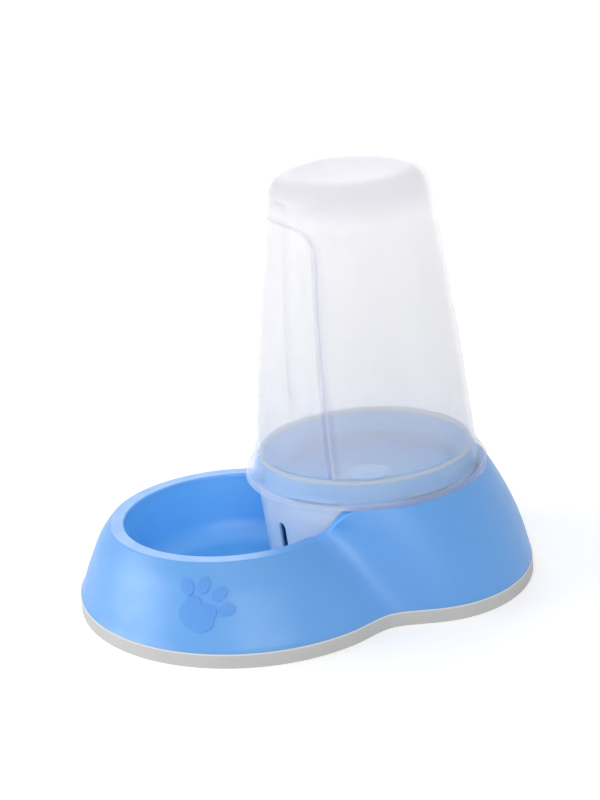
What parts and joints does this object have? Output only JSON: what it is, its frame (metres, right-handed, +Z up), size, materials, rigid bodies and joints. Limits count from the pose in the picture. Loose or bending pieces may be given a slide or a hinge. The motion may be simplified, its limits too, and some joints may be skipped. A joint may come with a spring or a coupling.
{
  "type": "pet water dispenser",
  "caption": "Gravity water dispenser: a translucent tank stands mouth down in a peanut-shaped base with a drinking bowl, on an anti-slip ring.",
  "frame": {"origin": "middle of the footprint, on the surface that the foot ring stands on", "axes": "+Z up, -Y towards the drinking bowl, +Y towards the tank, +X to the right seen from the bowl"},
  "size_m": [0.236, 0.3, 0.276],
  "materials": {
    "blue_plastic": "satin moulded polypropylene",
    "grey_rubber": "matt thermoplastic rubber",
    "frosted_plastic": "frosted translucent polypropylene",
    "clear_cup_plastic": "translucent polypropylene",
    "seal_rubber": "translucent white silicone",
    "valve_plastic": "light blue acetal",
    "spring_steel": "stainless wire"
  },
  "bodies": {
    "base": {"base_shell": "blue_plastic", "foot_ring": "grey_rubber"},
    "valve": {"valve_stem": "valve_plastic", "valve_washer": "seal_rubber", "spring_clip": "spring_steel", "valve_spring": "spring_steel"},
    "tank": {"tank": "frosted_plastic"},
    "cup": {"outlet_cup": "clear_cup_plastic", "valve_housing": "blue_plastic", "cup_seal": "seal_rubber"}
  },
  "joints": [
    {"name": "tank_lift", "type": "slide", "parent": "base", "child": "valve", "axis": [0, 0, 1], "range_m": [0, 0.08]},
    {"name": "valve_close", "type": "slide", "parent": "valve", "child": "tank", "axis": [0, 0, 1], "range_m": [0, 0.0039], "stiffness_N_per_m": 60, "springref_m": 0.012, "deforming": ["valve_spring"]},
    {"name": "cup_turn", "type": "hinge", "parent": "tank", "child": "cup", "pos_m": [0, 0.045, 0.075], "axis": [0, 0, 1], "range_deg": [-30, 0]}
  ]
}
